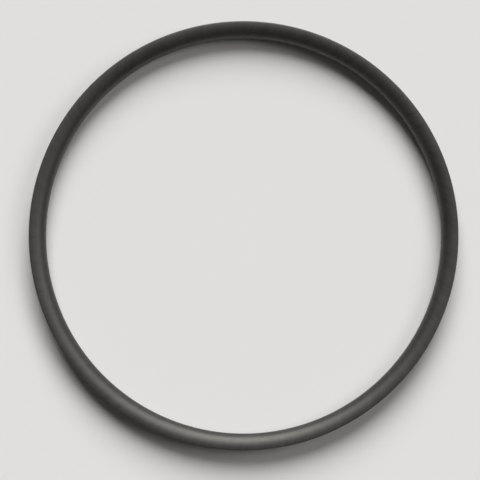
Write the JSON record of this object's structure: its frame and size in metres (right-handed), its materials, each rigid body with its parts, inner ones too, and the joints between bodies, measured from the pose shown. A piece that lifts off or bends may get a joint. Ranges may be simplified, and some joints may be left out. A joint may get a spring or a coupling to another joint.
{
  "type": "bicycle rim",
  "caption": "Bicycle wheel rim: a hollow moulded ring with straight bead flanges, a dropped tyre well, a rounded spoke bed with leaning spoke holes, and a valve hole.",
  "frame": {"origin": "the centre of the rim, on the wheel's axis and midway between its two sides", "axes": "+Z along the wheel's axis, up as the rim lies on its side; -Y from the centre out through the valve hole"},
  "size_m": [0.6324, 0.6324, 0.036],
  "materials": {
    "matte_carbon": "matte"
  },
  "bodies": {
    "root": {"rim": "matte_carbon"}
  },
  "joints": []
}
